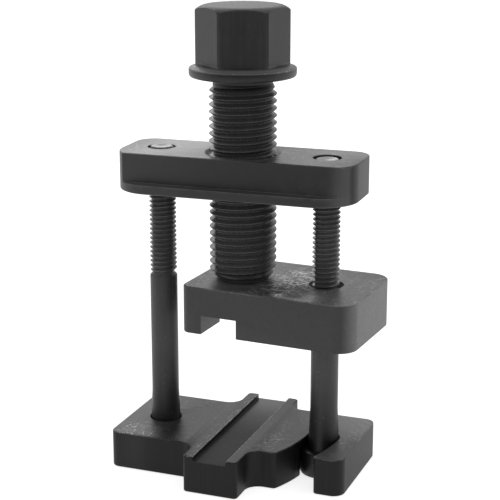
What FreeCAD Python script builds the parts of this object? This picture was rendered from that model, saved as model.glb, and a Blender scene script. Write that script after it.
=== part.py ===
import FreeCAD, Part
import math
import os
import re
import Sketcher

# Chain installation tool, a small screw press for the master link of a heavy drive chain.
# Frame: origin at the underside of the base, on the axis of the main bolt.
# X runs from the left rod to the right one, Y from front to back along the tongue, Z up.
# All lengths are in millimetres.

# How close two places or two levels have to lie to count as the same one.
SAME_PLACE = 0.01
SAME_LEVEL = 0.0001

SIZES = {
    # base plate
    "base_thickness": 8.0,
    "base_left_end": 25.7,
    "base_right_end": 25.8,
    "left_section_front": 13.1,
    "left_section_back": 11.9,
    "lobe_front": 11.85,
    "finger_front": 11.15,
    "slot_step_across": 16.0,
    "right_section_back": 13.4,
    "tongue_half_width": 6.0,
    "tongue_front": 19.6,
    "tongue_back": 19.2,
    "tongue_fillet": 3.0,
    "tongue_corner": 0.9,
    "base_corner": 1.9,
    "finger_tip_corner": 0.9,
    "finger_outer_corner": 2.6,
    "groove_half_width": 3.65,
    "groove_depth": 1.0,
    "edge_break": 0.15,
    # guide rods, two long M6 cap screws
    "rod_half_spacing": 18.05,
    "rod_skew": 0.6,
    "rod_diameter": 5.85,
    "rod_thread_length": 27.5,
    "rod_thread_relief": 0.12,
    "rod_end_chamfer": 0.6,
    "rod_foot_diameter": 6.6,
    "rod_foot_length": 8.4,
    "left_rod_proud": 0.2,
    "right_rod_recess": 0.25,
    "head_diameter": 10.2,
    "head_height": 5.6,
    "head_chamfer": 0.7,
    "socket_flats": 5.0,
    "socket_depth": 3.0,
    # fit of the rods in the base
    "rod_hole_clearance": 0.47,
    "head_side_clearance": 0.5,
    "head_top_clearance": 0.4,
    "slot_sweep_radius": 34.5,
    "slot_sweep_middle": 1.88,
    # crosshead
    "crosshead_bottom": 60.35,
    "crosshead_thickness": 8.0,
    "crosshead_half_length": 25.6,
    "crosshead_front": 8.75,
    "crosshead_back": 8.25,
    "lip_reach": 2.35,
    "lip_height": 1.9,
    "crosshead_front_corner": 8.0,
    "crosshead_back_corner": 4.0,
    "countersink_width": 0.95,
    "rod_thread_clearance": 0.02,
    "bolt_thread_clearance": 0.07,
    # main bolt, M14 x 1.5
    "bolt_diameter": 13.86,
    "flange_underside": 84.1,
    "flange_diameter": 22.0,
    "flange_rim": 1.8,
    "flange_chamfer": 0.5,
    "flange_height": 2.6,
    "hex_flats": 17.0,
    "hex_turned_diameter": 19.35,
    "head_top_height": 14.3,
    "head_face_diameter": 16.0,
    "head_chamfer_drop": 0.95,
    "neck_diameter": 12.3,
    "neck_length": 1.2,
    "bolt_lead_chamfer": 1.0,
    "tip_diameter": 10.6,
    "tip_taper_length": 2.8,
    "bolt_turn_angle": 21.3,
    # pilot under the tip and its groove
    "tip_gap": 0.1,
    "pilot_diameter": 8.0,
    "pilot_length": 4.6,
    "pilot_groove_diameter": 5.6,
    "pilot_groove_top": 1.6,
    "pilot_chamfer": 0.4,
    "pilot_clearance": 0.1,
    "pilot_end_clearance": 0.3,
    # press plate
    "plate_top": 41.5,
    "plate_thickness": 10.1,
    "plate_half_width": 12.55,
    "plate_right_reach": 10.35,
    "plate_left_reach": 27.25,
    "plate_leg_width": 4.6,
    "plate_groove_width": 7.95,
    "plate_groove_depth": 4.05,
    "leg_notch_width": 7.0,
    "plate_right_corner": 4.2,
    "plate_left_corner": 1.8,
    "plate_rod_hole_diameter": 7.3,
    "plate_turn_angle": 3.5,
    # retaining pins
    "pin_diameter": 2.0,
    "pin_side_clearance": 0.1,
    "pin_groove_clearance": 0.15,
    "pin_overrun": 3.0,
    "pin_depth_below_face": 0.2,
}

doc = FreeCAD.newDocument("chain_tool")

# The driving dimensions, one row each, with the alias as its name.
sheet = doc.addObject("Spreadsheet::Sheet", "Sizes")
for row, (alias, value) in enumerate(SIZES.items(), start=1):
    sheet.set("A" + str(row), alias)
    sheet.set("B" + str(row), str(value))
    sheet.setAlias("B" + str(row), alias)
doc.recompute()


def with_sheet(expression):
    """An expression in aliases, written as the document reads it."""
    return re.sub(r"\b[a-z]+(?:_[a-z]+)+\b", lambda word: "Sizes." + word.group(0), expression)


def value_of(expression):
    """The number that an expression in aliases gives now."""
    result = sheet.evalExpression(with_sheet(expression))
    return float(getattr(result, "Value", result))


def bind(thing, target, expression):
    thing.setExpression(target, with_sheet(expression))


def new_body(name):
    body = doc.addObject("PartDesign::Body", name)
    body.Label = name
    return body


def new_sketch(body, name, role, height=None):
    """A sketch on one of the body's own planes, raised along the plane's normal if asked."""
    sketch = body.newObject("Sketcher::SketchObject", name)
    plane = [feature for feature in body.Origin.OriginFeatures if feature.Role == role][0]
    sketch.AttachmentSupport = [(plane, "")]
    sketch.MapMode = "FlatFace"
    if height is not None:
        bind(sketch, "AttachmentOffset.Base.z", height)
    return sketch


def constrain(sketch, kind, *arguments):
    """A dimension whose value is the expression given last."""
    expression = arguments[-1]
    index = sketch.addConstraint(
        Sketcher.Constraint(kind, *arguments[:-1], value_of(expression)))
    sketch.setExpression("Constraints[" + str(index) + "]", with_sheet(expression))


def place_point(sketch, geometry, point, across, along):
    """Fix one point of a sketch by its two distances from the sketch's origin."""
    constrain(sketch, "DistanceX", -1, 1, geometry, point, across)
    constrain(sketch, "DistanceY", -1, 1, geometry, point, along)


def add_polygon(sketch, corners):
    """A closed outline of straight lines through corners given as pairs of expressions."""
    points = [FreeCAD.Vector(value_of(across), value_of(along), 0) for across, along in corners]
    first = sketch.GeometryCount
    count = len(corners)
    for index in range(count):
        sketch.addGeometry(Part.LineSegment(points[index], points[(index + 1) % count]), False)
    for index in range(count):
        following = first + (index + 1) % count
        sketch.addConstraint(Sketcher.Constraint("Coincident", first + index, 2, following, 1))
    for index, (across, along) in enumerate(corners):
        place_point(sketch, first + index, 1, across, along)


def add_circle(sketch, across, along, radius):
    centre = FreeCAD.Vector(value_of(across), value_of(along), 0)
    normal = FreeCAD.Vector(0, 0, 1)
    index = sketch.addGeometry(Part.Circle(centre, normal, value_of(radius)), False)
    place_point(sketch, index, 3, across, along)
    constrain(sketch, "Radius", index, radius)


def add_hexagon(sketch, flats):
    """A hexagon about the sketch's origin, with two of its flats square to the second axis."""
    half = "(" + flats + ") / 2"
    corner = "(" + flats + ") / sqrt(3)"
    corners = []
    for turn in range(6):
        side = "-" if turn in (2, 3, 4) else ""
        across = side + corner if turn in (0, 3) else side + corner + " / 2"
        along = {0: "0", 3: "0"}.get(turn, ("" if turn in (1, 2) else "-") + half)
        corners.append((across, along))
    add_polygon(sketch, corners)


def pad(body, sketch, name, length, midplane=False):
    feature = body.newObject("PartDesign::Pad", name)
    feature.Profile = sketch
    feature.SideType = "Symmetric" if midplane else "One side"
    bind(feature, "Length", length)
    doc.recompute()
    return feature


def pocket(body, sketch, name, length, upward=False):
    """A cut from the sketch against its normal, or along it if upward. It has to take material."""
    before = body.Shape.Volume
    feature = body.newObject("PartDesign::Pocket", name)
    feature.Profile = sketch
    feature.Reversed = upward
    bind(feature, "Length", length)
    doc.recompute()
    if not body.Shape.Volume < before - 0.01:
        raise RuntimeError(name + " cuts nothing")
    return feature


def revolve(body, sketch, name):
    feature = body.newObject("PartDesign::Revolution", name)
    feature.Profile = sketch
    feature.ReferenceAxis = (sketch, ["V_Axis"])
    feature.Angle = 360.0
    doc.recompute()
    return feature


def dress(body, kind, name, size, wanted):
    """A fillet or chamfer on every edge of the body's last shape that wanted picks."""
    base = body.Tip
    edges = base.Shape.Edges
    names = ["Edge" + str(index) for index, edge in enumerate(edges, start=1) if wanted(edge)]
    if not names:
        raise RuntimeError(name + " finds no edge")
    feature = body.newObject("PartDesign::" + kind, name)
    feature.Base = (base, names)
    bind(feature, "Radius" if kind == "Fillet" else "Size", size)
    doc.recompute()
    return feature


def upright_at(*places):
    """Picks the vertical edges that stand at the given places, in the body's own frame."""
    spots = [(value_of(across), value_of(along)) for across, along in places]

    def wanted(edge):
        start = edge.Vertexes[0].Point
        end = edge.Vertexes[-1].Point
        upright = math.hypot(start.x - end.x, start.y - end.y) < SAME_LEVEL
        near = any(math.hypot(start.x - x, start.y - y) < SAME_PLACE for x, y in spots)
        return upright and near and abs(start.z - end.z) > SAME_PLACE
    return wanted


def level_at(*heights):
    """Picks the edges that lie whole in one of the given level planes."""
    levels = [value_of(height) for height in heights]

    def wanted(edge):
        box = edge.BoundBox
        return any(abs(box.ZMin - z) < SAME_LEVEL and abs(box.ZMax - z) < SAME_LEVEL
                   for z in levels)
    return wanted


# Base plate. One 8 mm plate sawn and milled to outline: a section for each rod and a tongue
# between them that carries the anvil groove. The left rod stands in a hole, the right rod in a
# hook slot that opens to the front, and both heads sit in counterbores from below.

base = new_body("base_plate")

outline = new_sketch(base, "base_outline", "XY_Plane")
add_polygon(outline, [
    ("-base_left_end", "-left_section_front"),
    ("-tongue_half_width", "-left_section_front"),
    ("-tongue_half_width", "-tongue_front"),
    ("tongue_half_width", "-tongue_front"),
    ("tongue_half_width", "-lobe_front"),
    ("slot_step_across", "-lobe_front"),
    ("slot_step_across", "-finger_front"),
    ("base_right_end", "-finger_front"),
    ("base_right_end", "right_section_back"),
    ("tongue_half_width", "right_section_back"),
    ("tongue_half_width", "tongue_back"),
    ("-tongue_half_width", "tongue_back"),
    ("-tongue_half_width", "left_section_back"),
    ("-base_left_end", "left_section_back"),
])
pad(base, outline, "base_slab", "base_thickness")
dress(base, "Fillet", "tongue_roots", "tongue_fillet", upright_at(
    ("-tongue_half_width", "-left_section_front"),
    ("tongue_half_width", "-lobe_front"),
    ("tongue_half_width", "right_section_back"),
    ("-tongue_half_width", "left_section_back")))
dress(base, "Fillet", "tongue_corners", "tongue_corner", upright_at(
    ("-tongue_half_width", "-tongue_front"),
    ("tongue_half_width", "-tongue_front"),
    ("tongue_half_width", "tongue_back"),
    ("-tongue_half_width", "tongue_back")))
dress(base, "Fillet", "finger_outer_corner", "finger_outer_corner",
      upright_at(("base_right_end", "-finger_front")))
dress(base, "Fillet", "base_corners", "base_corner", upright_at(
    ("-base_left_end", "-left_section_front"),
    ("base_right_end", "right_section_back"),
    ("-base_left_end", "left_section_back")))

# The hook slot follows an arc, so that the right rod swings out of it about the left one.
slot_half_width = "(rod_diameter / 2 + rod_hole_clearance)"
sweep_centre_x = ("(rod_half_spacing - sqrt(slot_sweep_radius * slot_sweep_radius"
                  " - (slot_sweep_middle - rod_skew) * (slot_sweep_middle - rod_skew)))")
mouth_line = "(-tongue_front)"


def mouth_across(radius):
    """Where an arc of the slot meets the line in front of the mouth."""
    drop = "(slot_sweep_middle - " + mouth_line + ")"
    return value_of(sweep_centre_x + " + sqrt((" + radius + ") * (" + radius + ") - "
                    + drop + " * " + drop + ")")


slot = new_sketch(base, "hook_slot_outline", "XY_Plane")
centre = FreeCAD.Vector(value_of(sweep_centre_x), value_of("slot_sweep_middle"), 0)
rod_centre = FreeCAD.Vector(value_of("rod_half_spacing"), value_of("rod_skew"), 0)
outward = (rod_centre - centre).normalize()
seat_angle = math.atan2(outward.y, outward.x)
mouth_y = value_of(mouth_line)
up = FreeCAD.Vector(0, 0, 1)
wall_arcs = []
for side in ("+", "-"):
    radius = "(slot_sweep_radius " + side + " " + slot_half_width + ")"
    mouth = FreeCAD.Vector(mouth_across(radius), mouth_y, 0)
    mouth_angle = math.atan2(mouth.y - centre.y, mouth.x - centre.x)
    circle = Part.Circle(centre, up, value_of(radius))
    wall_arcs.append(slot.addGeometry(Part.ArcOfCircle(circle, mouth_angle, seat_angle), False))
outer_wall, inner_wall = wall_arcs
seat_circle = Part.Circle(rod_centre, up, value_of(slot_half_width))
seat = slot.addGeometry(
    Part.ArcOfCircle(seat_circle, seat_angle, seat_angle + math.pi), False)
inner_mouth = slot.getPoint(inner_wall, 1)
outer_mouth = slot.getPoint(outer_wall, 1)
mouth_edge = slot.addGeometry(Part.LineSegment(inner_mouth, outer_mouth), False)
slot.addConstraint(Sketcher.Constraint("Coincident", outer_wall, 3, inner_wall, 3))
slot.addConstraint(Sketcher.Constraint("Tangent", outer_wall, 2, seat, 1))
slot.addConstraint(Sketcher.Constraint("Tangent", inner_wall, 2, seat, 2))
slot.addConstraint(Sketcher.Constraint("Coincident", inner_wall, 1, mouth_edge, 1))
slot.addConstraint(Sketcher.Constraint("Coincident", outer_wall, 1, mouth_edge, 2))
place_point(slot, seat, 3, "rod_half_spacing", "rod_skew")
constrain(slot, "Radius", seat, slot_half_width)
place_point(slot, outer_wall, 3, sweep_centre_x, "slot_sweep_middle")
constrain(slot, "DistanceY", -1, 1, mouth_edge, 1, mouth_line)
constrain(slot, "DistanceY", -1, 1, mouth_edge, 2, mouth_line)
pocket(base, slot, "hook_slot", "base_thickness", upward=True)


def mouth_corner(radius, front):
    """Where a wall of the slot comes out through the front of the plate."""
    drop = "(slot_sweep_middle + " + front + ")"
    across = sweep_centre_x + " + sqrt(" + radius + " * " + radius + " - " + drop + " * " + drop + ")"
    return (across, "-" + front)


dress(base, "Fillet", "hook_slot_mouth", "finger_tip_corner", upright_at(
    mouth_corner("(slot_sweep_radius + " + slot_half_width + ")", "finger_front"),
    mouth_corner("(slot_sweep_radius - " + slot_half_width + ")", "lobe_front")))

rod_hole = new_sketch(base, "left_rod_hole_outline", "XY_Plane")
add_circle(rod_hole, "-rod_half_spacing", "-rod_skew", slot_half_width)
pocket(base, rod_hole, "left_rod_hole", "base_thickness", upward=True)

counterbores = new_sketch(base, "counterbore_outline", "XY_Plane")
counterbore_radius = "head_diameter / 2 + head_side_clearance"
add_circle(counterbores, "-rod_half_spacing", "-rod_skew", counterbore_radius)
add_circle(counterbores, "rod_half_spacing", "rod_skew", counterbore_radius)
pocket(base, counterbores, "counterbores", "head_height + head_top_clearance", upward=True)

dress(base, "Chamfer", "base_edge_break", "edge_break", level_at("base_thickness", "0"))

groove = new_sketch(base, "anvil_groove_outline", "XY_Plane", "base_thickness")
add_polygon(groove, [
    ("-groove_half_width", "-tongue_front - edge_break"),
    ("groove_half_width", "-tongue_front - edge_break"),
    ("groove_half_width", "tongue_back + edge_break"),
    ("-groove_half_width", "tongue_back + edge_break"),
])
pocket(base, groove, "anvil_groove", "groove_depth")


# Guide rods. Two M6 cap screws with a long smooth shank: the head hangs in the base, the thread
# is screwed into the crosshead from below. The smooth shank starts under the thread with a step
# and thickens a little towards the head, as the forging leaves it.

crosshead_top = "(crosshead_bottom + crosshead_thickness)"


def make_rod(name, top, side):
    rod = new_body(name)
    profile = new_sketch(rod, name + "_profile", "XZ_Plane")
    thread_radius = "(rod_diameter / 2 - rod_thread_relief / 2)"
    thread_start = "(" + crosshead_top + " - rod_thread_length)"
    add_polygon(profile, [
        ("0", "0"),
        ("head_diameter / 2 - head_chamfer", "0"),
        ("head_diameter / 2", "head_chamfer"),
        ("head_diameter / 2", "head_height"),
        ("rod_foot_diameter / 2", "head_height"),
        ("rod_diameter / 2", "head_height + rod_foot_length"),
        ("rod_diameter / 2", thread_start + " - rod_thread_relief"),
        (thread_radius, thread_start),
        (thread_radius, top + " - rod_end_chamfer"),
        ("rod_diameter / 2 - rod_end_chamfer", top),
        ("0", top),
    ])
    revolve(rod, profile, name + "_turned")
    socket = new_sketch(rod, name + "_socket_outline", "XY_Plane")
    add_hexagon(socket, "socket_flats")
    pocket(rod, socket, name + "_socket", "socket_depth", upward=True)
    bind(rod, "Placement.Base.x", side + "rod_half_spacing")
    bind(rod, "Placement.Base.y", side + "rod_skew")
    return rod


left_rod = make_rod("left_rod", "(" + crosshead_top + " + left_rod_proud)", "-")
right_rod = make_rod("right_rod", "(" + crosshead_top + " - right_rod_recess)", "")


# Crosshead. A bar with large round corners in front, milled back there above a lip, and tapped
# for the main bolt and the two rods. It lies along the line of the rods, which the base's own
# edges don't follow quite, so the whole bar is turned by that small angle.

crosshead = new_body("crosshead")

bar = new_sketch(crosshead, "crosshead_outline", "XY_Plane", "crosshead_bottom")
lip_front = "(crosshead_front + lip_reach)"
add_polygon(bar, [
    ("-crosshead_half_length", "-" + lip_front),
    ("crosshead_half_length", "-" + lip_front),
    ("crosshead_half_length", "crosshead_back"),
    ("-crosshead_half_length", "crosshead_back"),
])
pad(crosshead, bar, "crosshead_bar", "crosshead_thickness")
dress(crosshead, "Fillet", "crosshead_front_corners", "crosshead_front_corner", upright_at(
    ("-crosshead_half_length", "-" + lip_front),
    ("crosshead_half_length", "-" + lip_front)))
dress(crosshead, "Fillet", "crosshead_back_corners", "crosshead_back_corner", upright_at(
    ("-crosshead_half_length", "crosshead_back"),
    ("crosshead_half_length", "crosshead_back")))

ledge = new_sketch(crosshead, "crosshead_ledge_outline", "XY_Plane", "crosshead_bottom + lip_height")
add_polygon(ledge, [
    ("-crosshead_half_length", "-" + lip_front + " - edge_break"),
    ("crosshead_half_length", "-" + lip_front + " - edge_break"),
    ("crosshead_half_length", "-crosshead_front"),
    ("-crosshead_half_length", "-crosshead_front"),
])
pocket(crosshead, ledge, "crosshead_milled_front", "crosshead_thickness", upward=True)
dress(crosshead, "Chamfer", "crosshead_edge_break", "edge_break",
      level_at("crosshead_bottom", crosshead_top))

rod_distance = "sqrt(rod_half_spacing * rod_half_spacing + rod_skew * rod_skew)"
tapped_holes = new_sketch(crosshead, "tapped_hole_outline", "XY_Plane", "crosshead_bottom")
add_circle(tapped_holes, "0", "0", "bolt_diameter / 2 + bolt_thread_clearance")
for rod_side in ("-", ""):
    add_circle(tapped_holes, rod_side + rod_distance, "0", "rod_diameter / 2 + rod_thread_clearance")
pocket(crosshead, tapped_holes, "tapped_holes", "crosshead_thickness", upward=True)


def bolt_hole_rim(edge):
    """Picks the top rim of the hole for the main bolt."""
    box = edge.BoundBox
    width = value_of("bolt_diameter + 2 * bolt_thread_clearance")
    at_top = abs(box.ZMin - value_of(crosshead_top)) < SAME_LEVEL
    as_wide = abs(box.XLength - width) < SAME_PLACE and abs(box.YLength - width) < SAME_PLACE
    return at_top and as_wide


dress(crosshead, "Chamfer", "bolt_hole_countersink", "countersink_width", bolt_hole_rim)
crosshead.Placement = FreeCAD.Placement(FreeCAD.Vector(), FreeCAD.Rotation(up, 1.0))
bind(crosshead, "Placement.Rotation.Angle", "atan(rod_skew / rod_half_spacing)")


# Main bolt. Turned from hex bar: domed hex head, flange forged under it, a short undercut neck,
# thread down to a tapered tip, and below the tip a grooved pilot that stays in the press plate.

tip_face = "(plate_top + tip_gap)"
flange_top = "(flange_underside + flange_height)"
head_top = "(flange_underside + head_top_height)"
pilot_end = "(" + tip_face + " - pilot_length)"
groove_top = "(" + tip_face + " - pilot_groove_top)"
groove_bottom = "(" + groove_top + " - pin_diameter - 2 * pin_side_clearance)"
thread_top = "(flange_underside - neck_length)"

bolt = new_body("main_bolt")
bolt_profile = new_sketch(bolt, "bolt_profile", "XZ_Plane")
add_polygon(bolt_profile, [
    ("0", pilot_end),
    ("pilot_diameter / 2 - pilot_chamfer", pilot_end),
    ("pilot_diameter / 2", pilot_end + " + pilot_chamfer"),
    ("pilot_diameter / 2", groove_bottom),
    ("pilot_groove_diameter / 2", groove_bottom),
    ("pilot_groove_diameter / 2", groove_top),
    ("pilot_diameter / 2", groove_top),
    ("pilot_diameter / 2", tip_face),
    ("tip_diameter / 2", tip_face),
    ("bolt_diameter / 2", tip_face + " + tip_taper_length"),
    ("bolt_diameter / 2", thread_top + " - bolt_lead_chamfer"),
    ("neck_diameter / 2", thread_top),
    ("neck_diameter / 2", "flange_underside"),
    ("flange_diameter / 2 - flange_chamfer", "flange_underside"),
    ("flange_diameter / 2", "flange_underside + flange_chamfer"),
    ("flange_diameter / 2", "flange_underside + flange_rim"),
    ("hex_turned_diameter / 2", flange_top),
    ("hex_turned_diameter / 2", head_top + " - head_chamfer_drop"),
    ("head_face_diameter / 2", head_top),
    ("0", head_top),
])
revolve(bolt, bolt_profile, "bolt_turned")

hexagon = new_sketch(bolt, "hex_outline", "XY_Plane", flange_top)
add_circle(hexagon, "0", "0", "flange_diameter")
add_hexagon(hexagon, "hex_flats")
pocket(bolt, hexagon, "hex_flats_milled", "head_top_height", upward=True)
bolt.Placement = FreeCAD.Placement(FreeCAD.Vector(), FreeCAD.Rotation(up, 1.0))
bind(bolt, "Placement.Rotation.Angle", "bolt_turn_angle * 1 deg")


# Press plate. A block with a groove through its underside that clears the link's pin, a hole
# for the right rod and a blind seat for the pilot of the bolt. The leg left of the groove is
# notched through at its middle. The plate's own frame stands on the axis of the right rod, and
# the plate hangs turned a little about that rod.

plate = new_body("press_plate")
plate_bottom = "(plate_top - plate_thickness)"
groove_ceiling = "(" + plate_bottom + " + plate_groove_depth)"
leg_inner = "(plate_leg_width - plate_left_reach)"

plate_profile = new_sketch(plate, "plate_profile", "XZ_Plane")
add_polygon(plate_profile, [
    ("-plate_left_reach", plate_bottom),
    (leg_inner, plate_bottom),
    (leg_inner, groove_ceiling),
    (leg_inner + " + plate_groove_width", groove_ceiling),
    (leg_inner + " + plate_groove_width", plate_bottom),
    ("plate_right_reach", plate_bottom),
    ("plate_right_reach", "plate_top"),
    ("-plate_left_reach", "plate_top"),
])
pad(plate, plate_profile, "plate_block", "2 * plate_half_width", midplane=True)
dress(plate, "Fillet", "plate_right_corners", "plate_right_corner", upright_at(
    ("plate_right_reach", "-plate_half_width"),
    ("plate_right_reach", "plate_half_width")))
dress(plate, "Fillet", "plate_left_corners", "plate_left_corner", upright_at(
    ("-plate_left_reach", "-plate_half_width"),
    ("-plate_left_reach", "plate_half_width")))
dress(plate, "Chamfer", "plate_edge_break", "edge_break", level_at("plate_top", plate_bottom))

leg_notch = new_sketch(plate, "leg_notch_outline", "XY_Plane", plate_bottom)
add_polygon(leg_notch, [
    ("-plate_left_reach - edge_break", "-leg_notch_width / 2"),
    (leg_inner + " + edge_break", "-leg_notch_width / 2"),
    (leg_inner + " + edge_break", "leg_notch_width / 2"),
    ("-plate_left_reach - edge_break", "leg_notch_width / 2"),
])
pocket(plate, leg_notch, "leg_notch", "plate_groove_depth", upward=True)

plate_hole = new_sketch(plate, "plate_rod_hole_outline", "XY_Plane", plate_bottom)
add_circle(plate_hole, "0", "0", "plate_rod_hole_diameter / 2")
pocket(plate, plate_hole, "plate_rod_hole", "plate_thickness", upward=True)

# The bolt's axis, seen from the plate's own frame.
turn_cosine = "cos(plate_turn_angle * 1 deg)"
turn_sine = "sin(plate_turn_angle * 1 deg)"
seat_across = "(rod_skew * " + turn_sine + " - rod_half_spacing * " + turn_cosine + ")"
seat_along = "(-rod_skew * " + turn_cosine + " - rod_half_spacing * " + turn_sine + ")"
seat_depth = "(pilot_length - tip_gap + pilot_end_clearance)"

pilot_seat = new_sketch(plate, "pilot_seat_outline", "XY_Plane", "plate_top")
add_circle(pilot_seat, seat_across, seat_along, "pilot_diameter / 2 + pilot_clearance")
pocket(plate, pilot_seat, "pilot_seat", seat_depth)

# The pins lie along Y, one on each side of the pilot, in holes drilled from the back.
pin_height = "(" + groove_top + " - pin_side_clearance - pin_diameter / 2)"
pin_offset = "(pilot_groove_diameter / 2 + pin_groove_clearance + pin_diameter / 2)"
pin_far_end = "(" + seat_along + " - pin_overrun)"
pin_holes = new_sketch(plate, "pin_hole_outline", "XZ_Plane", "-plate_half_width")
for pin_side in (" - ", " + "):
    add_circle(pin_holes, seat_across + pin_side + pin_offset, pin_height, "pin_diameter / 2")
pocket(plate, pin_holes, "pin_holes", "plate_half_width - " + pin_far_end, upward=True)


# Retaining pins. Two plain dowels pressed into the plate, which reach into the pilot's groove.

def make_pin(name, pin_side):
    pin = new_body(name)
    pin_outline = new_sketch(pin, name + "_outline", "XZ_Plane",
                             "-(plate_half_width - pin_depth_below_face)")
    add_circle(pin_outline, seat_across + pin_side + pin_offset, pin_height, "pin_diameter / 2")
    pad(pin, pin_outline, name + "_rod", "plate_half_width - pin_depth_below_face - " + pin_far_end)
    return pin


left_pin = make_pin("left_retaining_pin", " - ")
right_pin = make_pin("right_retaining_pin", " + ")

for hung in (plate, left_pin, right_pin):
    hung.Placement = FreeCAD.Placement(FreeCAD.Vector(), FreeCAD.Rotation(up, -1.0))
    bind(hung, "Placement.Base.x", "rod_half_spacing")
    bind(hung, "Placement.Base.y", "rod_skew")
    bind(hung, "Placement.Rotation.Angle", "-plate_turn_angle * 1 deg")
doc.recompute()


# Every object has to be sound before anything is written.

subparts = [base, left_rod, right_rod, crosshead, bolt, plate, left_pin, right_pin]
for thing in doc.Objects:
    if "Invalid" in thing.State or "Error" in thing.State:
        raise RuntimeError(thing.Name + " failed")
for subpart in subparts:
    if subpart.Shape.isNull() or not subpart.Shape.isValid() or len(subpart.Shape.Solids) != 1:
        raise RuntimeError(subpart.Label + " is not one sound solid")

os.makedirs("parts", exist_ok=True)
for subpart in subparts:
    subpart.Shape.exportStep("parts/" + subpart.Label + ".step")
    box = subpart.Shape.BoundBox
    print(subpart.Label, "%.2f %.2f %.2f" % (box.XMin, box.YMin, box.ZMin),
          "%.2f %.2f %.2f" % (box.XMax, box.YMax, box.ZMax), "volume %.0f" % subpart.Shape.Volume)
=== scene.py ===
import math
from functools import reduce

import bmesh
import bpy
from mathutils import Matrix, Vector


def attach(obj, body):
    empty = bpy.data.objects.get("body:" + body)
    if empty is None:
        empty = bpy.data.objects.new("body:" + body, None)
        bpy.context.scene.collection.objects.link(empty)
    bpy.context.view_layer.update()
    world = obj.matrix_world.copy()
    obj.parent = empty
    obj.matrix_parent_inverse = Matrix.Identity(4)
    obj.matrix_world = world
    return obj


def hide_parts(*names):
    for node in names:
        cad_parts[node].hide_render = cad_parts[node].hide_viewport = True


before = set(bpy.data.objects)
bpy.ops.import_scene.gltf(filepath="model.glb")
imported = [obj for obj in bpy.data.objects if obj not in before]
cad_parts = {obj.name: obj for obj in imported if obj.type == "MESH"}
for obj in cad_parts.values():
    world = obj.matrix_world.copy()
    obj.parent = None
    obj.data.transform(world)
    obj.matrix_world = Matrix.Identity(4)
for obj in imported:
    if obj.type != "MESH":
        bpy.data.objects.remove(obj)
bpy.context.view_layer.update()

# The pieces are made in millimetres; the table, the lamps and the camera are in metres.
MM = 0.001


# Base plate
# One 8 mm steel plate, sawn and milled to outline, with a shallow groove milled along its
# tongue. It is blackened, and rubbed grey where chain links and the bench have scraped it.

DARKEST = 0.004
SHARP_ANGLE = 35.0


class Value:
    """A value in a node tree, with which shader maths is written as Python."""

    def __init__(self, tree, socket):
        self.tree = tree
        self.socket = socket

    def math(self, operation, *others):
        return self.tree.add("Math", {"operation": operation}, dict(enumerate((self, *others))))

    def __add__(self, other):
        return self.math("ADD", other)

    def __mul__(self, other):
        return self.math("MULTIPLY", other)

    def __sub__(self, other):
        return self.math("SUBTRACT", other)

    def __rsub__(self, other):
        return self.tree.add("Math", {"operation": "SUBTRACT"}, {0: other, 1: self})

    def __abs__(self):
        return self.math("ABSOLUTE")

    __radd__ = __add__
    __rmul__ = __mul__

    def power(self, exponent):
        return self.math("POWER", exponent)

    def most(self, other):
        return self.math("MAXIMUM", other)

    def least(self, other):
        return self.math("MINIMUM", other)

    def rise(self, low, high):
        """From 0 at low to 1 at high, smoothly; low may be the larger."""
        return self.tree.add("MapRange", {"interpolation_type": "SMOOTHSTEP"},
                             {"Value": self, "From Min": low, "From Max": high})

    def band(self, middle, half_width):
        """1 at the middle, falling to 0 at half_width either side."""
        return abs(self - middle).rise(half_width, 0.0)


class Tree:
    """The nodes of a material or of the world, as they are put together."""

    def __init__(self, owner):
        owner.use_nodes = True
        self.nodes = owner.node_tree.nodes
        self.links = owner.node_tree.links
        self.nodes.clear()

    def add(self, kind, settings=None, inputs=None, output=0):
        """One node: its settings first, then the values or links of its sockets."""
        node = self.nodes.new("ShaderNode" + kind)
        for name, value in (settings or {}).items():
            setattr(node, name, value)
        for name, value in (inputs or {}).items():
            if isinstance(value, Value):
                self.links.new(value.socket, node.inputs[name])
            else:
                node.inputs[name].default_value = value
        return Value(self, node.outputs[output])

    def end(self, kind, surface):
        """Join the surface to the output, of a Material or of the World."""
        output = self.nodes.new("ShaderNodeOutput" + kind)
        self.links.new(surface.socket, output.inputs["Surface"])


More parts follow.
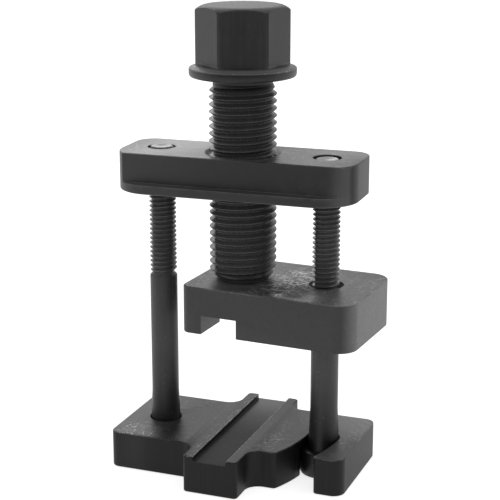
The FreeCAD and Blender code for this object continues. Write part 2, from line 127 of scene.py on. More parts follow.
class Finish(Tree):
    """A piece's material, on the piece's own Object coordinates in millimetres."""

    def __init__(self, name):
        self.material = bpy.data.materials.new(name)
        super().__init__(self.material)
        place = self.add("TexCoord", output="Object")
        self.place = self.add("VectorMath", {"operation": "SCALE"}, {0: place, "Scale": 1 / MM})
        self.x, self.y, self.z = (self.add("SeparateXYZ", {}, {0: self.place}, axis)
                                  for axis in "XYZ")

    def noise(self, size, detail=3.0, rough=0.55, distortion=0.0, where=None, stretch=(1, 1, 1)):
        """Cloudy noise about 0.5, with features of about the given size in millimetres."""
        where = self.add("Mapping", {}, {"Vector": where or self.place,
                                         "Scale": tuple(s / size for s in stretch)})
        return self.add("TexNoise", {}, {"Vector": where, "Scale": 1.0, "Detail": detail,
                                         "Roughness": rough, "Distortion": distortion}, "Fac")

    def curls(self, size, width, seed):
        """Thin wandering lines, broken up, as a turning edge leaves them."""
        shifted = self.add("Mapping", {}, {"Vector": self.place, "Location": (seed, -seed, seed)})
        line = self.noise(size, 1.0, 0.4, 0.6, shifted).band(0.5, width)
        return line * self.noise(size * 0.45, 2.0, 0.5, where=shifted).rise(0.42, 0.52)

    def scratches(self, size, width, degrees):
        """Thin and nearly straight lines in one direction, broken up."""
        turned = self.add("Mapping", {}, {"Vector": self.place, "Location": (degrees, 7.0, 3.0),
                                          "Rotation": (0.0, 0.0, math.radians(degrees))})
        line = self.noise(size, 1.0, 0.4, 0.2, turned, (0.12, 1.0, 1.0)).band(0.5, width)
        gaps = self.noise(size * 0.7, 2.0, 0.5, where=turned, stretch=(0.4, 1.0, 1.0))
        return line * gaps.rise(0.5, 0.58)

    def all_scratches(self, *sets):
        """Scratches in several directions, each with its size, width and degrees."""
        return reduce(Value.most, [self.scratches(*one) for one in sets])

    def from_axis(self, x=0.0, y=0.0):
        """The distance from the upright axis through x and y."""
        return ((self.x - x).power(2.0) + (self.y - y).power(2.0)).power(0.5)

    def along(self, degrees):
        """How far a point lies out from the Z axis in a level direction."""
        angle = math.radians(degrees)
        return math.cos(angle) * self.x + math.sin(angle) * self.y

    def spot(self, x, y, half_x, half_y):
        """1 at x and y, falling to 0 at the half widths either side."""
        return self.x.band(x, half_x) * self.y.band(y, half_y)

    def edge(self):
        """1 on the broken edges between level faces and upright ones, 0 on those faces."""
        normal = self.add("NewGeometry", output="Normal")
        return abs(self.add("SeparateXYZ", {}, {0: normal}, "Z")).band(0.5, 0.45)

    def close(self, shade, roughness, relief=None, relief_height=0.0, specular=0.5):
        """The finished grey surface; the relief's height is in millimetres."""
        shade = shade.most(DARKEST)
        grey = self.add("CombineColor", {}, {0: shade, 1: shade, 2: shade})
        inputs = {"Base Color": grey, "Roughness": roughness, "Specular IOR Level": specular}
        if relief is not None:
            inputs["Normal"] = self.add("Bump", {}, {"Strength": 1.0, "Height": relief,
                                                     "Distance": relief_height * MM})
        self.end("Material", self.add("BsdfPrincipled", {}, inputs))
        return self.material


def finished_piece(name, shape, place, sharp_angle, material, body, node):
    """Make an object of a bmesh in millimetres, put it in its place and tie it to the model."""
    bmesh.ops.recalc_face_normals(shape, faces=shape.faces)
    bmesh.ops.transform(shape, matrix=Matrix.Scale(MM, 4) @ Matrix.Translation(place),
                        verts=shape.verts)
    mesh = bpy.data.meshes.new(name)
    shape.to_mesh(mesh)
    shape.free()
    mesh.shade_smooth()
    mesh.set_sharp_from_angle(angle=math.radians(sharp_angle))
    mesh.materials.append(material)
    piece = bpy.data.objects.new(name, mesh)
    bpy.context.scene.collection.objects.link(piece)
    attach(piece, body)
    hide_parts(node)
    return piece


def soft_edged(node, body, material, width):
    """The node's own shape, its edges broken by the given width in millimetres."""
    shape = bmesh.new()
    shape.from_mesh(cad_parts[node].data)
    bmesh.ops.scale(shape, vec=(1 / MM, 1 / MM, 1 / MM), verts=shape.verts)
    bmesh.ops.remove_doubles(shape, verts=shape.verts, dist=1e-3)
    bmesh.ops.dissolve_limit(shape, angle_limit=math.radians(0.5), verts=shape.verts,
                             edges=shape.edges)
    piece = finished_piece(node + "_piece", shape, (0.0, 0.0, 0.0), SHARP_ANGLE, material,
                           body, node)
    edges = piece.modifiers.new("broken_edges", "BEVEL")
    edges.width = width * MM
    edges.segments = 2
    edges.limit_method = "ANGLE"
    edges.angle_limit = math.radians(SHARP_ANGLE)
    edges.harden_normals = True
    return piece


BASE_TOP = 8.0
GROOVE_FLOOR = 7.0
GROOVE_HALF = 3.75

base = Finish("blackened_base")
base_top = base.z.rise(BASE_TOP - 0.25, BASE_TOP - 0.05)
base_grain = base.noise(0.35, 4.0, 0.7)
base_cloud = base.noise(5.0, 4.0, 0.6)
base_fleck = base.noise(1.1, 5.0, 0.85).rise(0.57, 0.64)
base_fine_fleck = base.noise(0.5, 3.0, 0.8).rise(0.57, 0.63)
base_streaks = base.noise(0.5, 2.0, 0.5, stretch=(1.0, 1.0, 0.04)) - 0.5
rubbed_edge = base.edge() * base.noise(1.5, 4.0, 0.7).rise(0.35, 0.6)

by_groove = abs(base.x).band(5.0, 2.5) * base_top
groove_edge = abs(base.x).band(GROOVE_HALF, 0.28) * base_top * base.noise(0.8, 2.0).rise(0.35, 0.6)
groove_floor = base.z.band(GROOVE_FLOOR, 0.3) * abs(base.x).rise(3.8, 3.6)
left_of_groove = base.x.band(-4.2, 2.6)
right_of_groove = base.spot(7.5, -3.0, 6.5, 12.5)
front_corner = base.spot(-20.5, -10.0, 6.5, 6.0)
right_corner = base.spot(24.0, 4.0, 4.0, 13.0)
far_left = base.x.rise(-12.0, -24.0) * base_top
right_side = base.x.rise(15.0, 20.0)
back_right = base.x.rise(5.0, 22.0) * base.y.rise(-1.0, 9.0) * base_top

worn = (left_of_groove * 0.7 + right_of_groove * 0.85 + front_corner * 2.0
        + right_corner * 0.5) * base_top * base_cloud.rise(0.32, 0.6)
scraped = (base.all_scratches((1.6, 0.03, 35.0), (2.2, 0.03, -20.0), (1.9, 0.03, 80.0))
           * (worn + 0.15 * base_top))
base_shade = (0.006 + 0.012 * base_top + 0.06 * (base_cloud - 0.5) * base_top
              + 0.014 * base_streaks * (1.0 - base_top)
              + 0.085 * far_left + 0.07 * right_side * base_top + 0.155 * back_right
              + 0.05 * front_corner + 0.016 * groove_floor - 0.095 * by_groove
              + 0.6 * worn * base_fleck + 0.6 * worn * base_fine_fleck
              + 0.22 * by_groove * base_fine_fleck * base_cloud.rise(0.4, 0.6)
              + 0.25 * scraped + 0.3 * groove_edge
              + 0.25 * rubbed_edge * (0.25 + 0.4 * right_side + worn))
groove_sheen = 0.14 * base.y.rise(12.0, -4.0) - 0.13 * base.y.rise(8.0, 18.0)
base_roughness = 0.48 + 0.25 * (base_grain - 0.5) - 0.06 * base_top + groove_sheen * groove_floor
base_material = base.close(base_shade, base_roughness, base_grain + 0.2 * base_streaks,
                           relief_height=0.004, specular=0.27)
soft_edged("base_plate", "base", base_material, 0.2)


# Guide rods
# Two M6 cap screws with a long smooth shank, blackened. The threads are rolled, so the tips are
# slightly cupped, and they are screwed up into the crosshead from below.

def thread_surface(crest, root, pitch, bottom, top, steps, start):
    """A right-handed thread with a crest at height start on the +X side, in a new bmesh.

    One turn is screwed up from a V profile, and its copies are stacked a pitch apart.
    """
    turned = bmesh.new()
    depth = crest - root
    profile = [(-0.5, root), (-0.42, root + 0.05 * depth), (-0.1, crest - 0.12 * depth),
               (-0.04, crest), (0.04, crest), (0.1, crest - 0.12 * depth),
               (0.42, root + 0.05 * depth), (0.5, root)]
    first = start - pitch * math.ceil((start - bottom) / pitch + 1.5)
    chain = [turned.verts.new((radius, 0.0, first + along * pitch)) for along, radius in profile]
    edges = [turned.edges.new(pair) for pair in zip(chain[:-1], chain[1:])]
    bmesh.ops.spin(turned, geom=chain + edges, cent=(0, 0, 0), axis=(0, 0, 1),
                   dvec=(0, 0, pitch / steps), angle=math.tau, steps=steps,
                   use_merge=False, use_duplicate=False)
    one_turn = turned.verts[:] + turned.edges[:] + turned.faces[:]
    for number in range(1, math.ceil((top - first) / pitch) + 1):
        copy = bmesh.ops.duplicate(turned, geom=one_turn)["geom"]
        bmesh.ops.translate(turned, vec=(0, 0, pitch * number),
                            verts=[item for item in copy if isinstance(item, bmesh.types.BMVert)])
    bmesh.ops.remove_doubles(turned, verts=turned.verts, dist=1e-3)
    return turned


def trim_thread(turned, bottom, top, widest):
    """Turn the thread down to the widest radius allowed at each height."""
    for vert in turned.verts:
        height = min(max(vert.co.z, bottom), top)
        radius = math.hypot(vert.co.x, vert.co.y)
        scale = min(radius, widest(height)) / radius
        vert.co = (vert.co.x * scale, vert.co.y * scale, height)
    bmesh.ops.remove_doubles(turned, verts=turned.verts, dist=1e-3)
    bmesh.ops.dissolve_degenerate(turned, edges=turned.edges, dist=1e-3)


def turn_profile(target, profile, steps):
    """Spin an outline of (radius, height) pairs about the axis, into the target."""
    chain = [target.verts.new((radius, 0.0, height)) for radius, height in profile]
    edges = [target.edges.new(pair) for pair in zip(chain[:-1], chain[1:])]
    bmesh.ops.spin(target, geom=chain + edges, cent=(0, 0, 0), axis=(0, 0, 1), dvec=(0, 0, 0),
                   angle=math.tau, steps=steps, use_merge=True, use_duplicate=False)
    bmesh.ops.remove_doubles(target, verts=target.verts, dist=1e-3)


ROD_X = 18.05
ROD_Y = 0.6
ROD_STEPS = 60
ROD_PITCH = 1.0
ROD_SHANK = 2.91
ROD_CREST = 2.86
ROD_ROOT = 2.35
ROD_NECK = 2.3
ROD_END = 2.2
ROD_THREAD_START = 41.2
CAP_RADIUS = 5.08
CAP_TOP = 5.58
CAP_FACE = 0.01
SOCKET_CORNER = 5.0 / math.sqrt(3)
SOCKET_FLOOR = 3.0

rod_finish = Finish("blackened_rod")
rod_radius = rod_finish.from_axis(-ROD_X, -ROD_Y).least(rod_finish.from_axis(ROD_X, ROD_Y))
rod_cloud = rod_finish.noise(4.0, 4.0, 0.6)
rod_grain = rod_finish.noise(0.3, 3.0, 0.6)
rod_speck = rod_finish.noise(0.5, 2.0, 0.5).rise(0.66, 0.74)
rod_streak = rod_finish.noise(0.7, 3.0, 0.6, stretch=(1.0, 1.0, 0.05))
rod_thread = rod_finish.z.rise(ROD_THREAD_START - 0.6, ROD_THREAD_START + 0.2)
# The crests are worn lighter, and painted lighter still as glints.
rod_crest_wear_and_glint = rod_thread * rod_radius.rise(2.6, 2.84)
# Painted sheen on the cupped rod ends.
rod_tip_painted_sheen = rod_finish.z.rise(67.4, 67.9) * rod_radius.rise(2.4, 2.0)
# Painted shade: the rods are darker low down by the base plate and lighter higher up.
rod_above_painted_shade = rod_finish.z.rise(9.0, 28.0)
# Painted light: the right rod's shank is lighter than the left one's.
right_shank_painted_light = rod_finish.x.rise(-1.0, 1.0) * (1.0 - rod_thread)
rod_shade = (0.006 + 0.02 * rod_thread + 0.05 * rod_speck
             + rod_above_painted_shade * (0.075 + 0.03 * (rod_cloud - 0.5) + 0.05 * (rod_streak - 0.5)
                            + 0.02 * right_shank_painted_light)
             + 0.06 * rod_crest_wear_and_glint * rod_cloud.rise(0.4, 0.6)
             + 0.27 * rod_tip_painted_sheen * rod_cloud.rise(0.2, 0.55))
rod_roughness = 0.42 + 0.2 * (rod_grain - 0.5) - 0.2 * rod_thread
rod_material = rod_finish.close(rod_shade, rod_roughness, rod_grain + 0.5 * rod_streak,
                                relief_height=0.003, specular=0.42)

# Each rod has its place, the height of its end, and how far its first crest is above the start.
rods = {"left_rod": (-ROD_X, -ROD_Y, 68.53, 0.85), "right_rod": (ROD_X, ROD_Y, 68.08, 0.84)}
for rod_name, (rod_x, rod_y, rod_top, first_crest) in rods.items():
    rod = thread_surface(ROD_CREST, ROD_ROOT, ROD_PITCH, ROD_THREAD_START, rod_top, ROD_STEPS,
                         ROD_THREAD_START + first_crest)

    def rod_widest(height):
        lead_in = ROD_NECK + (height - ROD_THREAD_START) * 1.2
        lead_out = ROD_END + (rod_top - height) * 1.1
        return min(ROD_CREST, lead_in, lead_out)

    trim_thread(rod, ROD_THREAD_START, rod_top, rod_widest)
    turn_profile(rod, [(ROD_END, rod_top), (2.0, rod_top - 0.02), (1.6, rod_top - 0.14),
                       (0.9, rod_top - 0.3), (0.0, rod_top - 0.34)], ROD_STEPS)
    turn_profile(rod, [(ROD_NECK, ROD_THREAD_START), (ROD_ROOT, ROD_THREAD_START - 0.1),
                       (ROD_SHANK - 0.08, ROD_THREAD_START - 0.62),
                       (ROD_SHANK, ROD_THREAD_START - 0.8), (ROD_SHANK, 14.6),
                       (2.98, 13.2), (3.27, 6.1), (3.45, CAP_TOP), (4.6, CAP_TOP),
                       (CAP_RADIUS - 0.12, CAP_TOP - 0.08), (CAP_RADIUS, CAP_TOP - 0.48),
                       (CAP_RADIUS, 0.7), (4.88, 0.3), (4.4, CAP_FACE)], ROD_STEPS)
    rim = [edge for edge in rod.edges if edge.is_boundary]
    socket = bmesh.ops.create_circle(rod, segments=6, radius=SOCKET_CORNER, cap_ends=False,
                                     matrix=Matrix.Translation((0, 0, CAP_FACE)))["verts"]
    socket_edges = list({edge for vert in socket for edge in vert.link_edges})
    bmesh.ops.triangle_fill(rod, edges=rim + socket_edges, use_beauty=True)
    walls = bmesh.ops.extrude_edge_only(rod, edges=socket_edges)["geom"]
    floor_verts = [item for item in walls if isinstance(item, bmesh.types.BMVert)]
    bmesh.ops.translate(rod, vec=(0, 0, SOCKET_FLOOR - CAP_FACE), verts=floor_verts)
    floor_edges = [item for item in walls if isinstance(item, bmesh.types.BMEdge)
                   and all(vert in floor_verts for vert in item.verts)]
    bmesh.ops.contextual_create(rod, geom=floor_edges)
    finished_piece(rod_name + "_piece", rod, (rod_x, rod_y, 0.0), 32.0, rod_material,
                   "frame", rod_name)


# Crosshead
# A steel bar with round front corners, its front milled back above a lip, tapped for the main
# bolt and both rods. It is blackened and its top rubbed grey; the top's left part is rubbed
# smoother and painted lighter, as light falls from the left.

BAR_TOP = 68.35
LIP_TOP = 62.25

bar = Finish("blackened_crosshead")
bar_radius = bar.from_axis()
bar_top = bar.z.rise(BAR_TOP - 0.25, BAR_TOP - 0.05)
bar_side = 1.0 - bar_top
bar_grain = bar.noise(0.3, 4.0, 0.65)
bar_cloud = bar.noise(5.0, 4.0, 0.65)
bar_streak = bar.noise(1.4, 3.0, 0.6, stretch=(0.2, 1.0, 1.0))
bar_lines = bar.noise(0.5, 2.0, 0.5, stretch=(1.0, 1.0, 0.05)) - 0.5
bar_marks = bar.all_scratches((1.8, 0.022, 12.0), (2.4, 0.02, -38.0), (2.0, 0.022, 65.0))
bar_speck = bar.noise(0.45, 2.0, 0.5).rise(0.66, 0.75)
# The left part of the top is rubbed smoother, and painted lighter as light from the left falls on
# it.
rubbed_left_and_painted_light = bar.x.rise(4.0, -9.0) * (0.5 + 0.5 * bar.x.rise(-25.0, -18.0)) * bar_top
bar_back = bar.x.rise(9.0, 20.0) * bar.y.rise(-2.0, 6.0)
# Darker just right of the bolt, towards the front.
bar_darker_by_bolt = bar.x.band(11.0, 7.0) * bar.y.rise(1.0, -3.0)
# The right end face has fine streaks of its own, and is painted darker as shade.
bar_end = bar.x.rise(24.6, 25.4) * bar_side
# Painted light on the rounded right front corner.
bar_corner_painted_light = bar.x.rise(20.5, 24.0) * bar_side * (1.0 - bar_end)
bar_lip = bar.z.rise(LIP_TOP + 0.2, LIP_TOP - 0.1) * (1.0 - bar_end)
# Painted glint in the countersink, brightest at its inner edge.
countersink_painted_glint = bar_radius.rise(8.05, 7.9) * bar.z.rise(BAR_TOP - 0.02, BAR_TOP - 0.15)
# Painted light: the front face is lighter towards its left end, as light falls from the left.
bar_shade = (0.038 + 0.185 * rubbed_left_and_painted_light + 0.02 * bar_speck + 0.01 * bar_lip
             + bar_top * (0.041 + 0.14 * (bar_cloud - 0.5) + 0.12 * (bar_streak - 0.5)
                          + 0.11 * bar_marks + 0.1 * bar_speck
                          + 0.13 * bar_back - 0.04 * bar_darker_by_bolt)
             + bar_side * (0.024 * bar.x.rise(4.0, -22.0)
                           + 0.12 * bar.edge() * bar_cloud.rise(0.3, 0.6))
             + 0.06 * bar_corner_painted_light + bar_end * (0.03 * bar_lines - 0.055)
             + countersink_painted_glint * (0.1 + 0.5 * bar_radius.rise(7.6, 7.2)))
bar_roughness = 0.42 + 0.2 * (bar_grain - 0.5) - 0.12 * rubbed_left_and_painted_light
bar_material = bar.close(bar_shade, bar_roughness, bar_grain, relief_height=0.003, specular=0.3)
soft_edged("crosshead", "frame", bar_material, 0.2)


# Main bolt
# An M14 x 1.5 screw turned from hex bar, with a flange under its head, a short neck above the
# thread and a grooved pilot below the tapered tip. Blackened and dry.

BOLT_STEPS = 96
BOLT_PITCH = 1.5
BOLT_CREST = 6.99
BOLT_ROOT = 6.12
NECK_START = 6.1
NECK = 6.25
TIP_FACE = 41.6
TIP_RADIUS = 5.3
PILOT = 4.0
PILOT_GROOVE = 2.8
THREAD_TOP = 82.75
FLANGE_FACE = 84.06
FLANGE_RADIUS = 11.0
HEX_STEPS = 192
HEX_HALF = 8.5
HEX_CORNER = 9.63
HEX_TOP = 98.4
HEX_TURN = 21.3
FLAT_AREA = 5.0

bolt = thread_surface(BOLT_CREST, BOLT_ROOT, BOLT_PITCH, TIP_FACE, THREAD_TOP, BOLT_STEPS,
                      TIP_FACE + 1.34)


def bolt_widest(height):
    taper = TIP_RADIUS + (height - TIP_FACE) * 0.8
    runout = NECK_START + (THREAD_TOP - height) * 0.5
    return min(BOLT_CREST, taper, runout)


trim_thread(bolt, TIP_FACE, THREAD_TOP, bolt_widest)
turn_profile(bolt, [(TIP_RADIUS, TIP_FACE), (PILOT, TIP_FACE), (PILOT, 40.0), (PILOT_GROOVE, 40.0),
                    (PILOT_GROOVE, 37.8), (PILOT, 37.8), (PILOT, 37.4), (3.6, 37.0), (0.0, 37.0)],
             BOLT_STEPS)
turn_profile(bolt, [(NECK_START, THREAD_TOP), (NECK, 82.9), (NECK, 83.65), (6.3, 83.95),
                    (6.55, FLANGE_FACE), (10.45, FLANGE_FACE), (10.75, 84.15), (10.94, 84.4),
                    (FLANGE_RADIUS, 84.7), (FLANGE_RADIUS, 85.65), (10.93, 85.83), (10.75, 85.95),
                    (9.7, 86.27), (8.4, 86.6), (8.0, 86.65), (0.0, 86.65)], BOLT_STEPS)
bmesh.ops.remove_doubles(bolt, verts=bolt.verts, dist=1e-3)

head = bmesh.new()
turn_profile(head, [(0.0, 86.1), (HEX_CORNER, 86.1), (HEX_CORNER, 97.3), (9.53, 97.5), (9.3, 97.7),
                    (8.9, 97.95), (8.3, 98.22), (7.7, 98.37), (7.3, HEX_TOP), (0.0, HEX_TOP)],
             HEX_STEPS)
for side in range(6):
    angle = math.radians(HEX_TURN - 90.0 + 60.0 * side)
    outward = Vector((math.cos(angle), math.sin(angle), 0.0))
    cut = bmesh.ops.bisect_plane(head, geom=head.verts[:] + head.edges[:] + head.faces[:],
                                 dist=1e-4, plane_co=outward * HEX_HALF, plane_no=outward,
                                 clear_outer=True)["geom_cut"]
    bmesh.ops.holes_fill(head, edges=[item for item in cut if isinstance(item, bmesh.types.BMEdge)])
bmesh.ops.recalc_face_normals(head, faces=head.faces)
arrises = [edge for edge in head.edges
           if len(edge.link_faces) == 2 and edge.calc_face_angle(0.0) > math.radians(12.0)
           and max(vert.co.z for vert in edge.verts) > 86.2]
bmesh.ops.bevel(head, geom=arrises, offset=0.08, offset_type="OFFSET", segments=2, profile=0.5,
                affect="EDGES", material=-1, clamp_overlap=True)
head_mesh = bpy.data.meshes.new("hex_head_shape")
head.to_mesh(head_mesh)
head.free()
bolt.from_mesh(head_mesh)
bpy.data.meshes.remove(head_mesh)

screw = Finish("blackened_bolt")
screw_radius = screw.from_axis()
screw_grain = screw.noise(0.3, 4.0, 0.65)
screw_cloud = screw.noise(4.0, 4.0, 0.6)
screw_speck = screw.noise(0.45, 3.0, 0.6).rise(0.62, 0.7)
screw_streak = screw.noise(0.8, 3.0, 0.6, stretch=(1.0, 1.0, 0.08)) - 0.5
screw_top = screw.z.rise(HEX_TOP - 0.8, HEX_TOP - 0.1)
# Painted shade: the hex is darker towards its foot, above the flange.
hex_painted_foot_shade = 0.006 * screw.z.rise(87.0, 96.0)
hex_front = screw.along(HEX_TURN - 90.0).rise(HEX_HALF - 0.3, HEX_HALF - 0.05)
# Painted light on the hex's left front flat.
hex_left_painted_light = screw.along(HEX_TURN - 150.0).rise(HEX_HALF - 0.3, HEX_HALF - 0.05)
hex_left_painted_light = hex_left_painted_light * screw.z.rise(86.8, 87.4) * (1.0 - screw_top)
# Painted light along the hex's foot, off the front flat.
hex_foot_painted_light = screw.z.band(86.8, 0.35) * screw_radius.rise(8.4, 8.8) * (1.0 - hex_front)
# Painted light on the flange's cone, which lies in the hex's shade.
flange_cone_painted_light = screw.z.band(86.2, 0.45) * screw_radius.rise(8.3, 9.0)
# The flange's top edge has worn specks and a painted highlight.
flange_edge_specks_and_highlight = screw.z.band(85.85, 0.25) * screw_radius.rise(10.5, 10.9)
# Painted sheen on the flange rim's sides towards the left and right.
flange_side_painted_sheen = abs(screw.along(HEX_TURN)).rise(4.0, 10.0) * screw_radius.rise(10.6, 10.8)
flange = screw.z.rise(83.8, 84.2) * screw_radius.rise(8.6, 9.7)
screw_thread = screw.z.rise(82.4, 81.6)
screw_crest = screw_thread * screw_radius.rise(6.75, 6.97) * screw_cloud.rise(0.4, 0.6)
# Painted light on the thread below the crosshead.
screw_lower_painted_light = screw.z.rise(62.0, 58.0)
# Painted shade: the lead-in by the tip keeps less of the thread's lighter tone.
screw_lead_painted_shade = screw.z.rise(44.6, 43.4)
# Painted light on the tip, where it meets the press plate in shade.
screw_tip_painted_light = screw.z.rise(42.6, 41.9)
screw_shade = (0.004 + hex_painted_foot_shade + 0.02 * (screw_cloud - 0.5) + 0.03 * screw_streak
               + screw_speck * (0.2 * screw_top + 0.6 * flange_edge_specks_and_highlight) + 0.042 * screw_top
               + 0.02 * hex_left_painted_light + 0.07 * hex_foot_painted_light
               + 0.12 * flange_cone_painted_light + 0.1 * flange_edge_specks_and_highlight + 0.035 * flange_side_painted_sheen + 0.008 * flange
               + 0.055 * screw_thread * (1.0 - 0.6 * screw_lead_painted_shade) + 0.01 * screw_crest
               + 0.025 * screw_lower_painted_light + 0.07 * screw_tip_painted_light)
screw_roughness = 0.42 + 0.2 * (screw_grain - 0.5) + 0.08 * screw_top - 0.16 * screw_thread
screw_material = screw.close(screw_shade, screw_roughness, screw_grain,
                             relief_height=0.004, specular=0.4)
bolt_piece = finished_piece("main_bolt_piece", bolt, (0.0, 0.0, 0.0), 25.0, screw_material,
                            "bolt", "main_bolt")
for face in bolt_piece.data.polygons:
    face.use_smooth = face.area < FLAT_AREA * MM * MM


# Press plate
# A steel block with a clearance groove for the link's pin, sliding on the right rod and hung
# under the bolt. Blackened, and scratched on top where the bolt turns and tools lie on it.

PLATE_TOP = 41.5
ARC_WIDTH = 0.18
HOLE_REACH = 3.8
HOLE_SHIFT = 0.5

block = Finish("blackened_press_plate")
block_top = block.z.rise(PLATE_TOP - 0.35, PLATE_TOP - 0.15)
block_grain = block.noise(0.35, 4.0, 0.65)
block_cloud = block.noise(4.5, 4.0, 0.65)
block_mottle = block.noise(0.9, 4.0, 0.75)
block_fleck = block.noise(0.6, 4.0, 0.8).rise(0.54, 0.66)
curls = ((5.0, 0.022, 2.0), (3.5, 0.03, 11.0), (2.6, 0.04, 37.0), (4.2, 0.03, 53.0))
block_curls = reduce(Value.most, [block.curls(*one) for one in curls])
arcs = ((12.5, -1.5, 2.0), (10.0, 2.0, 4.2), (15.5, -6.0, 6.0), (7.0, -9.0, 8.5), (20.0, 4.0, 9.0),
        (13.0, 8.0, 8.0), (3.0, 1.0, 9.5), (24.0, -9.0, 12.5), (10.0, 18.0, 17.0))
block_arcs = reduce(Value.most, [block.from_axis(x, y).band(radius, ARC_WIDTH)
                                 for x, y, radius in arcs])
block_arcs = block_arcs * block.noise(2.2, 2.0, 0.5).rise(0.47, 0.53)
block_scores = block.all_scratches((1.8, 0.04, 50.0), (2.2, 0.035, -30.0), (2.0, 0.035, 100.0))

by_bolt = (1.8 * block.spot(10.5, 1.5, 7.0, 13.0) * block_top).least(1.0)
# Painted light on the top in front of the bolt, where its shade falls.
before_bolt_painted_light = block.from_axis().rise(10.0, 6.0) * block.y.rise(1.0, -3.0) * block_top
# Painted reflection of the bolt: darker between the bolt and the rod, towards the front.
between = (2.0 * block.spot(12.8, -6.0, 6.3, 10.0)).least(1.0)
between = between * block.y.rise(-12.0, -9.0) * block_top
# Painted light on the top in front of the rod, where its dark reflection falls.
before_rod_painted_light = (1.5 * block.spot(18.5, -7.0, 4.5, 6.0)).least(1.0) * block_top
turned_patch = block.spot(9.3, 1.5, 3.4, 4.5) * block_mottle.rise(0.35, 0.6) * block_top
front_smudge = block.spot(11.3, -9.6, 2.2, 1.7) * block_mottle.rise(0.35, 0.6) * block_top
plate_back = block.y.rise(5.0, 9.5) * block.x.rise(4.0, 8.0) * block_top
# Painted light along the top's front, where the bolt's shade falls.
front_rim_painted_light = block.y.rise(-7.5, -11.0) * block.x.rise(10.0, 4.0) * block_top
# The left part of the top is flecked, and painted darker as shade.
left_flecks_and_shade = block.x.rise(-3.0, -8.0) * block_top
right_part = block.x.rise(12.0, 20.0) * block_top
block_end = block.x.rise(25.2, 27.7) * (1.0 - block_top)
end_streak = block.noise(0.9, 3.0, 0.6, stretch=(1.0, 1.0, 0.12)) - 0.5
edge_wear = block.edge() * (0.12 * block_cloud.rise(0.3, 0.6) * block.x.rise(8.0, 24.0)
                            + 0.16 * block.x.rise(25.0, 27.0))
# Painted light on the rod hole's wall, which lies in shade.
hole_wall_painted_light = block.from_axis(ROD_X, ROD_Y).rise(4.4, 4.1) * (1.0 - block_top)

mottling = ((0.08 * (block_cloud - 0.5) + 0.16 * (block_mottle - 0.5))
            * (0.15 + 0.7 * block_top + 0.35 * block_end))
flecking = block_fleck * (1.5 * left_flecks_and_shade * block_cloud.rise(0.42, 0.52)
                          + 0.4 * right_part + 0.08 * block_end)
scoring = block_scores * (block_top * (1.0 - before_bolt_painted_light) + 0.2 * block_end)
block_shade = (0.024 + 0.024 * block_top + mottling + 0.4 * flecking + 0.14 * scoring
               + by_bolt * (0.8 * block_curls + 1.1 * block_arcs - 0.045)
               + 0.09 * before_bolt_painted_light + 0.09 * turned_patch + 0.9 * front_smudge
               - 0.07 * between + 0.06 * before_rod_painted_light - 0.03 * plate_back + 0.05 * front_rim_painted_light
               - 0.06 * left_flecks_and_shade + 0.035 * right_part
               + block_end * (0.145 + 0.05 * end_streak) + edge_wear + 0.5 * hole_wall_painted_light)
block_roughness = 0.46 + 0.2 * (block_grain - 0.5) + 0.2 * between
block_material = block.close(block_shade, block_roughness, block_grain,
                             relief_height=0.004, specular=0.55)
plate = soft_edged("press_plate", "press_plate", block_material, 0.25)

# The rod stands near the front of its hole, so the hole lies a little further back.
for vert in plate.data.vertices:
    if math.hypot(vert.co.x - ROD_X * MM, vert.co.y - ROD_Y * MM) < HOLE_REACH * MM:
        vert.co.y += HOLE_SHIFT * MM


# Retaining pins
# Two plain ground dowels, pressed into the press plate from the back beside the bolt's pilot.

dowel = Finish("ground_dowel")
dowel_lines = dowel.noise(0.3, 2.0, 0.5)
dowel_material = dowel.close(0.25 + 0.1 * (dowel_lines - 0.5), 0.35 + 0.1 * dowel_lines)
for pin in ("left_retaining_pin", "right_retaining_pin"):
    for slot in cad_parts[pin].material_slots:
        slot.material = dowel_material


# Floor, backdrop and light
# A plain white table that keeps a soft shadow, a white room, and soft studio lamps.

TABLE_GREY = 0.82
TABLE_GLOW = 0.75
ROOM_LIGHT = 0.45
FRONT_REFLECTION = 0.24
BACKWARDS = (-0.363, 0.932, 0.0)

table_white = bpy.data.materials.new("white_table")
white = Tree(table_white)
seen = (white.add("LightPath", output="Is Camera Ray")
        + white.add("LightPath", output="Is Glossy Ray")
        + white.add("LightPath", output="Is Transmission Ray"))
diffuse = white.add("BsdfDiffuse", {}, {"Color": (TABLE_GREY, TABLE_GREY, TABLE_GREY, 1.0)})
glow = white.add("Emission", {}, {"Strength": TABLE_GLOW * seen})
white.end("Material", white.add("AddShader", {}, {0: diffuse, 1: glow}))

ground = bmesh.new()
bmesh.ops.create_grid(ground, x_segments=1, y_segments=1, size=3.0)
table_mesh = bpy.data.meshes.new("table")
ground.to_mesh(table_mesh)
ground.free()
table_mesh.materials.append(table_white)
table = bpy.data.objects.new("table", table_mesh)
bpy.context.scene.collection.objects.link(table)
table.location.z = -0.1 * MM

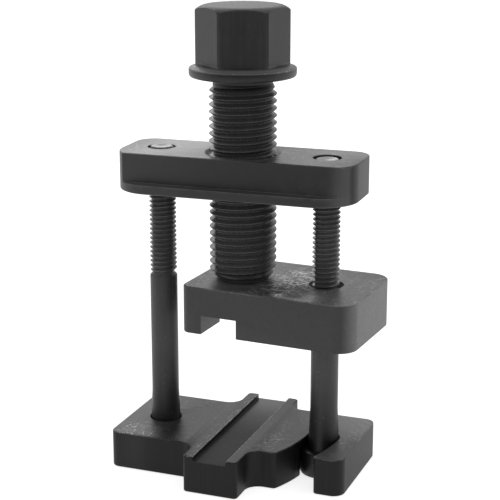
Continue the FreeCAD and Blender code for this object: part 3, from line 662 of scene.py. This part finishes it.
# Reflections find the room bright behind the object and dim on the camera's side.
world = bpy.data.worlds.new("white_room")
bpy.context.scene.world = world
room = Tree(world)
direction = room.add("TexCoord", output="Generated")
to_the_back = room.add("VectorMath", {"operation": "DOT_PRODUCT"},
                       {0: direction, 1: BACKWARDS}, "Value")
mirrored = FRONT_REFLECTION + (1.0 - FRONT_REFLECTION) * to_the_back.rise(-0.85, -0.1)
lit = room.add("Mix", {"data_type": "FLOAT"},
               {0: room.add("LightPath", output="Is Glossy Ray"), 2: ROOM_LIGHT, 3: mirrored})
direct = room.add("LightPath", output="Is Camera Ray").most(
    room.add("LightPath", output="Is Transmission Ray"))
strength = room.add("Mix", {"data_type": "FLOAT"}, {0: direct, 2: lit, 3: 1.0})
room.end("World", room.add("Background", {}, {"Strength": strength}))


def softbox(name, place, width, height, watts):
    """A rectangular lamp in a frame, turned to the object's middle."""
    lamp = bpy.data.lights.new(name, "AREA")
    lamp.shape = "RECTANGLE"
    lamp.size = width
    lamp.size_y = height
    lamp.energy = watts
    lamp_object = bpy.data.objects.new(name, lamp)
    lamp_object.location = place
    inward = Vector((0.0, 0.0, 0.05)) - Vector(place)
    lamp_object.rotation_euler = inward.to_track_quat("-Z", "Y").to_euler()
    bpy.context.scene.collection.objects.link(lamp_object)


softbox("back_left_softbox", (-0.38, 0.52, 0.36), 0.5, 0.3, 0.75)
softbox("overhead_softbox", (0.1, -0.05, 0.8), 0.6, 0.6, 1.3)


# Camera
# On the photograph's side: to the front right and a little above.

camera_data = bpy.data.cameras.new("camera")
camera_data.sensor_width = 36.0
camera_data.lens = 104.3
camera_data.shift_x = 0.0137
camera_data.clip_start = 0.01
camera = bpy.data.objects.new("camera", camera_data)
camera_turn = (Matrix.Rotation(math.radians(21.268), 3, "Z")
               @ Matrix.Rotation(math.radians(74.694), 3, "X")
               @ Matrix.Rotation(math.radians(-0.104), 3, "Z"))
camera.rotation_euler = camera_turn.to_euler()
camera.location = (0.106164, -0.272742, 0.127513)
bpy.context.scene.collection.objects.link(camera)
bpy.context.scene.camera = camera
bpy.context.scene.view_settings.view_transform = "Standard"
